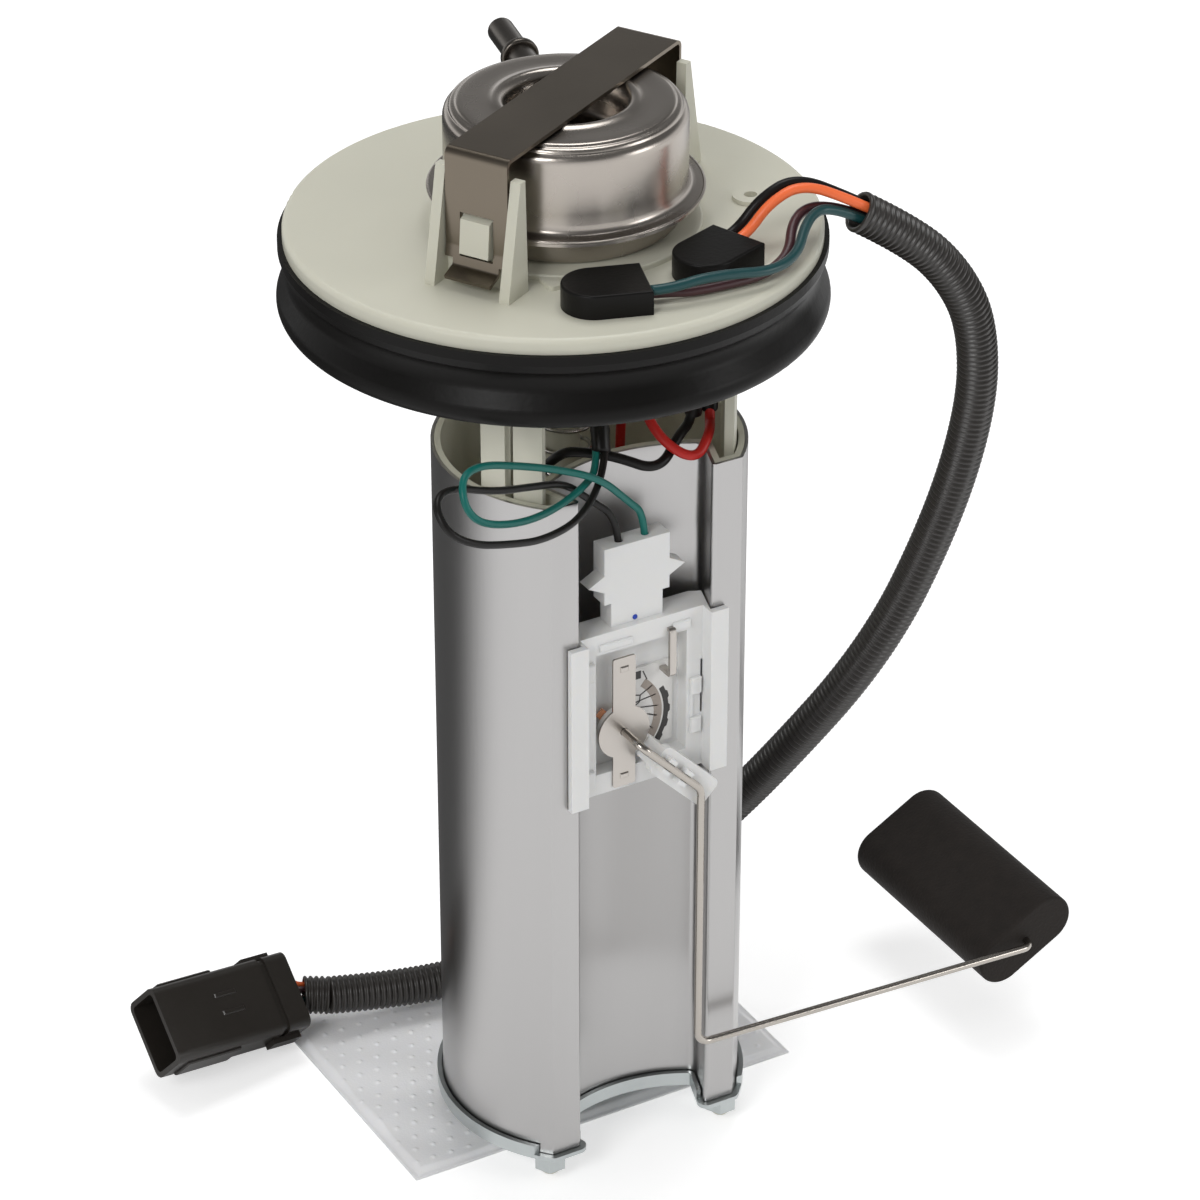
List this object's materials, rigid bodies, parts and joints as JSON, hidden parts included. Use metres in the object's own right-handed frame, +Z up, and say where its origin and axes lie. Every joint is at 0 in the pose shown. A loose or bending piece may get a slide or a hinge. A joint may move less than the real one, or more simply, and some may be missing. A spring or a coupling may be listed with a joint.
{
  "type": "fuel pump module",
  "caption": "In-tank fuel pump module: round flange with seal, filter can under a spring strap, sprung reservoir with electric pump, level sender with float arm, and wiring loom with plug.",
  "frame": {"origin": "centre of the flange's underside, the plane where the flange rests on the tank seal", "axes": "+Z up out of the tank along the flange's axis, -Y towards the level sender, +X to the side where the float swings"},
  "size_m": [0.2384, 0.14, 0.2972],
  "materials": {
    "cream_nylon": "moulded, slightly translucent",
    "seal_rubber": "satin",
    "stainless": "polished, warm tint",
    "filter_paper": "pleated paper",
    "dark_steel": "plated",
    "black_rubber": "matt",
    "spring_strip": "blued strip",
    "black_plastic": "moulded",
    "brass_pins": "plated",
    "spring_wire": "drawn wire",
    "lead_red": "smooth",
    "lead_black": "smooth",
    "lead_green": "smooth",
    "lead_orange": "smooth",
    "lead_teal": "smooth",
    "lead_purple": "smooth",
    "conduit": "corrugated",
    "tinned": "bright tin plate",
    "sleeve_aluminium": "satin sheet",
    "zinc_steel": "clear zinc plate",
    "felt": "embossed felt",
    "pump_steel": "turned",
    "ferrite": "sintered",
    "carbon": "pressed carbon",
    "white_plastic": "acetal",
    "ceramic": "thick-film card",
    "copper": "bare copper",
    "wire_steel": "drawn rod",
    "float_foam": "closed-cell foam"
  },
  "bodies": {
    "head": {"flange_plate": "cream_nylon", "tank_seal": "seal_rubber", "can_lower_shell": "stainless", "can_upper_shell": "stainless", "filter_element": "filter_paper", "outlet_nipple": "dark_steel", "neck_seals": "black_rubber", "retaining_strap": "spring_strip", "pump_lead_block": "black_plastic", "sender_lead_block": "black_plastic", "flange_pins": "brass_pins", "guide_leg_left": "cream_nylon", "guide_leg_right": "cream_nylon", "centre_tube": "cream_nylon", "return_spring": "spring_wire", "fuel_hose": "black_rubber", "hose_clamp_upper": "spring_wire", "lead_crimps": "black_plastic", "sender_lead_sleeve": "black_plastic", "pump_lead_red": "lead_red", "pump_lead_black": "lead_black", "sender_lead_green": "lead_green", "sender_lead_black": "lead_black", "loom_lead_orange": "lead_orange", "loom_lead_black": "lead_black", "loom_lead_teal": "lead_teal", "loom_lead_purple": "lead_purple", "loom_conduit": "conduit"},
    "reservoir": {"outer_sleeve": "sleeve_aluminium", "reservoir_cup": "cream_nylon", "reservoir_bridge": "cream_nylon", "base_plate": "zinc_steel", "base_studs": "cream_nylon", "base_nuts": "zinc_steel", "strainer_sock": "felt", "strainer_neck": "black_plastic", "pump_shell": "pump_steel", "pump_inlet_body": "black_plastic", "pump_mid_plate": "black_plastic", "pump_outlet_cap": "black_plastic", "pump_magnets": "ferrite", "pump_brushes": "carbon", "pump_isolators": "black_rubber", "hose_clamp_lower": "spring_wire", "sender_housing": "white_plastic", "resistor_card": "ceramic", "keeper_plate": "tinned", "sender_plug": "white_plastic", "terminal_clip": "tinned", "plug_housing": "black_plastic", "plug_latch": "black_plastic", "plug_terminals": "tinned", "plug_lead_tails": "lead_orange"},
    "float_arm": {"wiper_arm": "white_plastic", "wiper_contacts": "copper", "float_wire": "wire_steel"},
    "float": {"foam_float": "float_foam"},
    "rotor": {"pump_armature": "pump_steel", "pump_shaft": "pump_steel", "pump_impeller": "black_plastic"}
  },
  "joints": [
    {"name": "reservoir_slide", "type": "slide", "parent": "head", "child": "reservoir", "axis": [0, 0, 1], "range_m": [0, 0.012], "stiffness_N_per_m": 400, "springref_m": -0.03, "deforming": ["return_spring", "fuel_hose", "pump_lead_red", "pump_lead_black", "sender_lead_green", "sender_lead_black", "sender_lead_sleeve", "loom_conduit"]},
    {"name": "float_arm_pivot", "type": "hinge", "parent": "reservoir", "child": "float_arm", "pos_m": [-0.0054, -0.0445, -0.1221], "axis": [0, -1, 0], "range_deg": [0, 62]},
    {"name": "float_spin", "type": "hinge", "parent": "float_arm", "child": "float", "pos_m": [0.1204, -0.02, -0.2265], "axis": [0, 1, 0], "continuous": true},
    {"name": "rotor_spin", "type": "hinge", "parent": "reservoir", "child": "rotor", "pos_m": [0, -0.003, -0.2], "axis": [0, 0, 1], "continuous": true}
  ]
}
